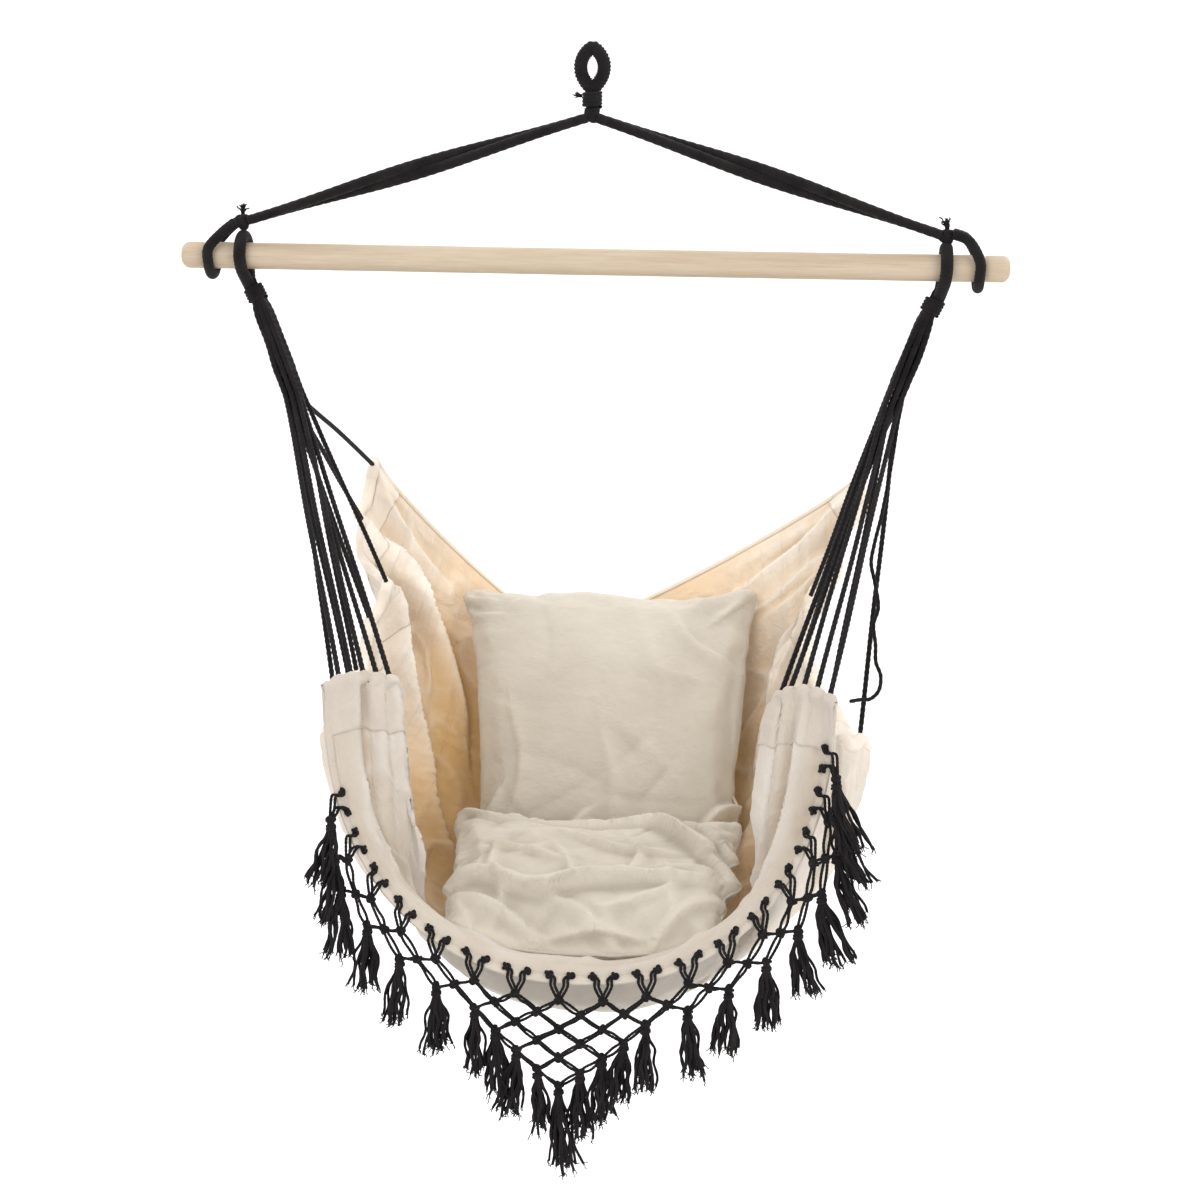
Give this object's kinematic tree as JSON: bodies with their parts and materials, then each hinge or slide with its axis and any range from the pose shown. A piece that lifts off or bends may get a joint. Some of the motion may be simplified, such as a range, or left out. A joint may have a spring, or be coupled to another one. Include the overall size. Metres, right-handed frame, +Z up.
{
  "type": "hammock chair",
  "caption": "Hanging hammock chair: rope eye and bridle, wooden spreader bar, canvas seat on gathered cords with a knotted fringe, and loose cushions.",
  "frame": {"origin": "where the hook touches the top inside of the rope eye, on the chair's centre plane", "axes": "+Z up, +X along the spreader bar to the right as seen from in front, +Y to the back of the chair"},
  "size_m": [1, 0.7236, 1.2612],
  "materials": {
    "black_cord": "matte",
    "pale_wood": "satin",
    "canvas": "matte",
    "cushion_cloth": "matte",
    "filling": "matte"
  },
  "bodies": {
    "eye": {"hanging_loop": "black_cord"},
    "neck": {"loop_whipping": "black_cord", "loop_tail": "black_cord"},
    "crown": {"bridle_crown": "black_cord"},
    "bridle": {"bridle_left_front": "black_cord", "bridle_left_rear": "black_cord", "bridle_right_front": "black_cord", "bridle_right_rear": "black_cord", "bridle_knot_left": "black_cord", "bridle_knot_right": "black_cord", "knot_tail_left": "black_cord", "knot_tail_right": "black_cord", "bar_hitch_left": "black_cord", "bar_hitch_right": "black_cord", "spreader_bar": "pale_wood"},
    "seat": {"cord_loop_left": "black_cord", "cord_loop_right": "black_cord", "bundle_whipping_left": "black_cord", "bundle_whipping_right": "black_cord", "cord_trunk_left": "black_cord", "cord_trunk_right": "black_cord", "cord_left_01": "black_cord", "cord_left_02": "black_cord", "cord_left_03": "black_cord", "cord_left_04": "black_cord", "cord_left_05": "black_cord", "cord_left_06": "black_cord", "cord_left_07": "black_cord", "cord_left_08": "black_cord", "cord_left_09": "black_cord", "cord_left_10": "black_cord", "cord_left_11": "black_cord", "cord_left_12": "black_cord", "cord_right_01": "black_cord", "cord_right_02": "black_cord", "cord_right_03": "black_cord", "cord_right_04": "black_cord", "cord_right_05": "black_cord", "cord_right_07": "black_cord", "cord_right_08": "black_cord", "cord_right_09": "black_cord", "cord_right_10": "black_cord", "cord_right_11": "black_cord", "cord_right_12": "black_cord", "slack_cord": "black_cord", "hem_cord_left": "black_cord", "hem_cord_right": "black_cord", "seat_canvas": "canvas", "fringe_left": "black_cord", "fringe_centre": "black_cord", "fringe_right": "black_cord"},
    "back_cushion": {"back_cushion_cover": "cushion_cloth", "back_cushion_filling": "filling"},
    "seat_cushion": {"seat_cushion_cover": "cushion_cloth", "seat_cushion_filling": "filling"}
  },
  "joints": [
    {"name": "rope_twist", "type": "hinge", "parent": "eye", "child": "neck", "pos_m": [0, 0, -0.0703], "axis": [0, 0, 1], "range_deg": [-180, 180]},
    {"name": "side_sway", "type": "hinge", "parent": "neck", "child": "crown", "pos_m": [0, 0, -0.0703], "axis": [0, 1, 0], "range_deg": [-12, 12]},
    {"name": "chair_swing", "type": "hinge", "parent": "crown", "child": "bridle", "pos_m": [0, 0, -0.0703], "axis": [1, 0, 0], "range_deg": [-25, 25]},
    {"name": "seat_rock", "type": "hinge", "parent": "bridle", "child": "seat", "pos_m": [0, 0, -0.242], "axis": [1, 0, 0], "range_deg": [-25, 25]},
    {"name": "back_cushion_lift", "type": "slide", "parent": "seat", "child": "back_cushion", "axis": [0, 0, 1], "range_m": [0, 0.3]},
    {"name": "seat_cushion_lift", "type": "slide", "parent": "seat", "child": "seat_cushion", "axis": [0, -0.2588, 0.9659], "range_m": [0, 0.3]}
  ]
}
